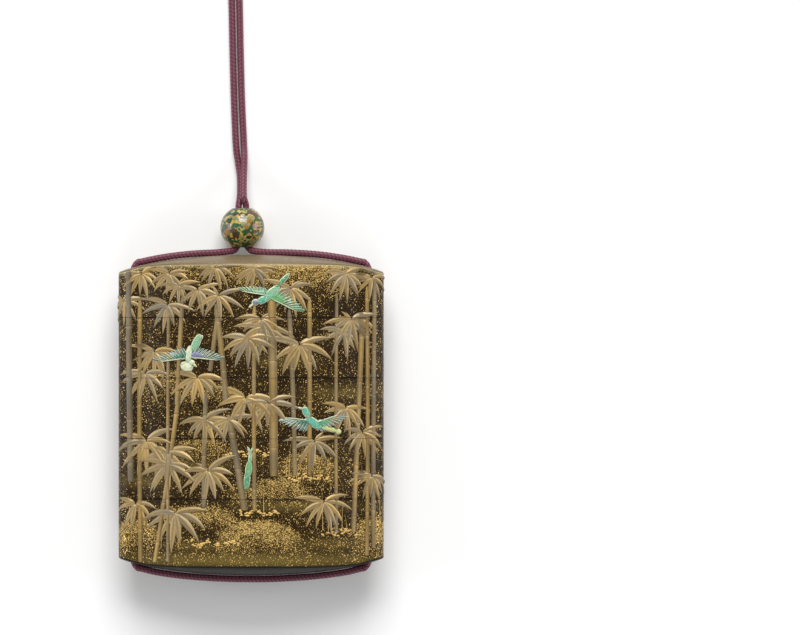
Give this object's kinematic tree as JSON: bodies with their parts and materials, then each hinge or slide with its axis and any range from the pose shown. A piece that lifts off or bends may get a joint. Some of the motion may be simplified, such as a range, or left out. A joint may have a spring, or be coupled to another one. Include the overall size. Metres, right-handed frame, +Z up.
{
  "type": "inro case",
  "caption": "Small tiered case of lacquered wood, lens-shaped in section, with inlaid birds and shoots, a braided cord through both sides and a sliding bead.",
  "frame": {"origin": "under the middle of the case, on the surface that it lies on, back down, measured without the cord, its knot and the bead", "axes": "+Z up out of the picture side, +Y towards the lid, +X to the right as the picture side is read"},
  "size_m": [0.072, 0.1965, 0.0241],
  "materials": {
    "lacquer": "satin",
    "shell_inlay": "gloss",
    "ivory_inlay": "satin",
    "braided_silk": "matte",
    "glazed_bead": "gloss"
  },
  "bodies": {
    "root": {"lid": "lacquer", "tier_1": "lacquer", "tier_2": "lacquer", "tier_3": "lacquer", "tier_4": "lacquer", "bird_front_lid": "shell_inlay", "bird_front_upper": "ivory_inlay", "bird_front_middle": "shell_inlay", "shoot_front": "shell_inlay", "bird_back_lid": "ivory_inlay", "bird_back_upper": "shell_inlay", "bird_back_middle": "shell_inlay", "shoot_back_left": "shell_inlay", "shoot_back_right": "shell_inlay", "bird_back_bottom": "shell_inlay", "cord_under": "braided_silk", "cord_left": "braided_silk", "cord_right": "braided_silk", "cord_knot": "braided_silk", "ojime_bead": "glazed_bead"}
  },
  "joints": []
}
